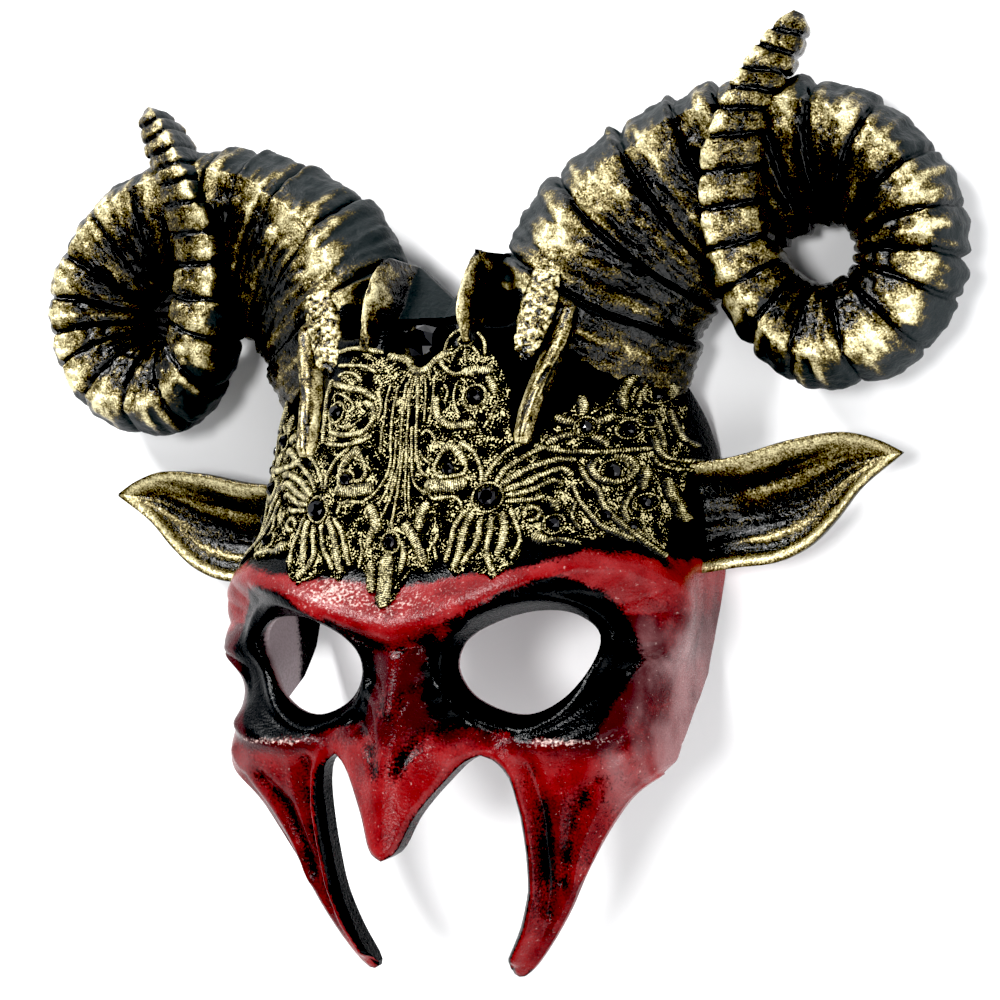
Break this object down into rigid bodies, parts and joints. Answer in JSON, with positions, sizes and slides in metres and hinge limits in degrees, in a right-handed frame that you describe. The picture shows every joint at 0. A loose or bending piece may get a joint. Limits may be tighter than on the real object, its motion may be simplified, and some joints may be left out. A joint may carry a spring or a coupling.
{
  "type": "horned devil half mask",
  "caption": "Cast half-face devil mask with curled ram horns, pointed ears, long nose, cheek points and a beaded lace forehead.",
  "frame": {"origin": "middle of the mask seen from the front, on the plane that the horn backs lie on", "axes": "+X across the face to the viewer's right, +Y from the cheek points to the horns, +Z out of the face"},
  "size_m": [0.3054, 0.2708, 0.0978],
  "materials": {
    "painted_cast": "red paint with black shading, gold dry-brushed horns",
    "lace": "stiff gold-painted lace",
    "stone": "polished faceted black"
  },
  "bodies": {
    "root": {"mask": "painted_cast", "lace": "lace", "crest_gem": "stone", "stone_1": "stone", "stone_2": "stone", "stone_3": "stone", "stone_4": "stone", "stone_5": "stone", "stone_6": "stone", "stone_7": "stone", "stone_8": "stone", "stone_9": "stone", "stone_10": "stone", "stone_11": "stone", "stone_12": "stone", "stone_13": "stone", "stone_14": "stone", "stone_15": "stone", "stone_16": "stone", "stone_17": "stone", "stone_18": "stone", "stone_19": "stone", "stone_20": "stone", "stone_21": "stone", "stone_22": "stone", "stone_23": "stone", "stone_24": "stone"}
  },
  "joints": []
}
